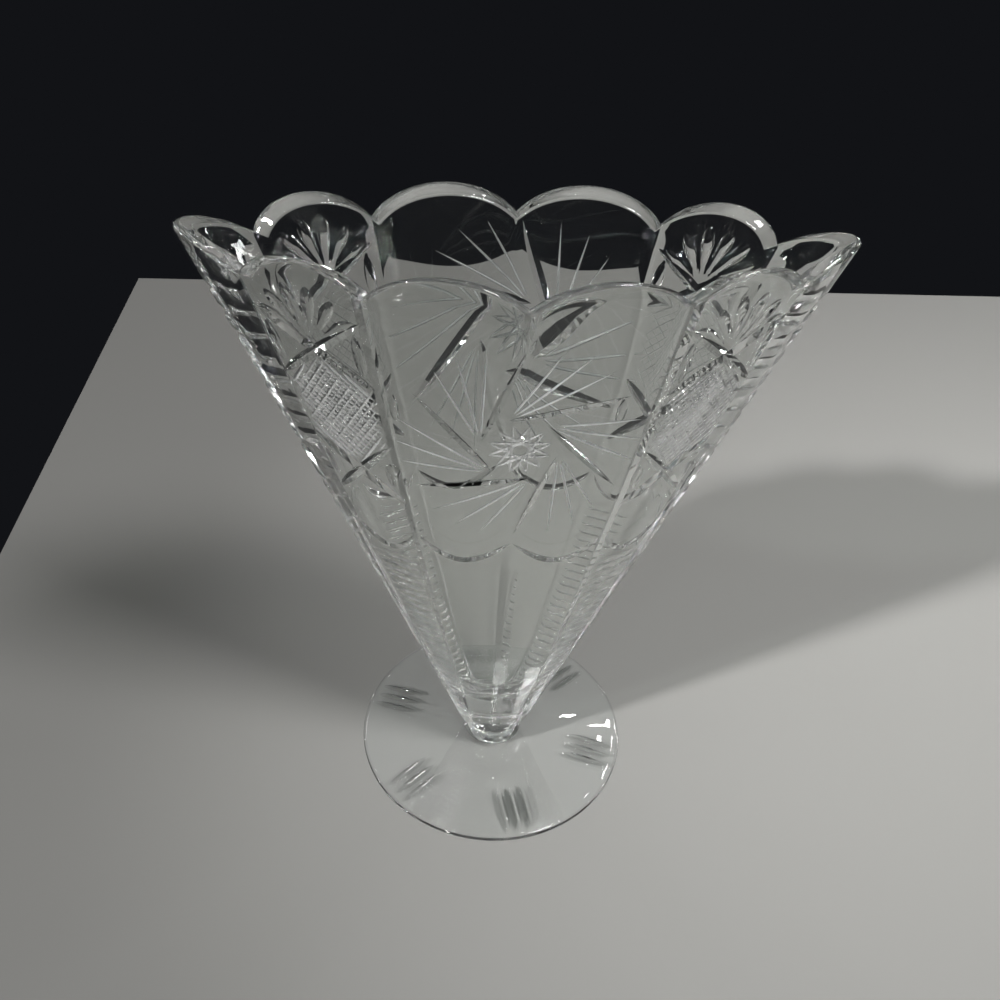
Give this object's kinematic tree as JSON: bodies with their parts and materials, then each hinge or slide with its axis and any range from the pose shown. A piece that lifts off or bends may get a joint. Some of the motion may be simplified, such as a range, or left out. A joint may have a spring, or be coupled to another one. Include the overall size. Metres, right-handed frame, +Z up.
{
  "type": "footed fan vase",
  "caption": "Clear cut-crystal fan vase: a flattened, flaring bowl with a scalloped rim and wheel-cut pattern, on a short collar and a round foot; holds water and cut flowers.",
  "frame": {"origin": "centre of the foot's flat underside", "axes": "+Z up the vase, +X along the wide way of the rim, -Y towards the face seen in the picture"},
  "size_m": [0.1784, 0.097, 0.203],
  "materials": {
    "crystal": "clear, polished, with wheel-cut facets"
  },
  "bodies": {
    "root": {"foot": "crystal", "collar": "crystal", "bowl": "crystal"}
  },
  "joints": []
}
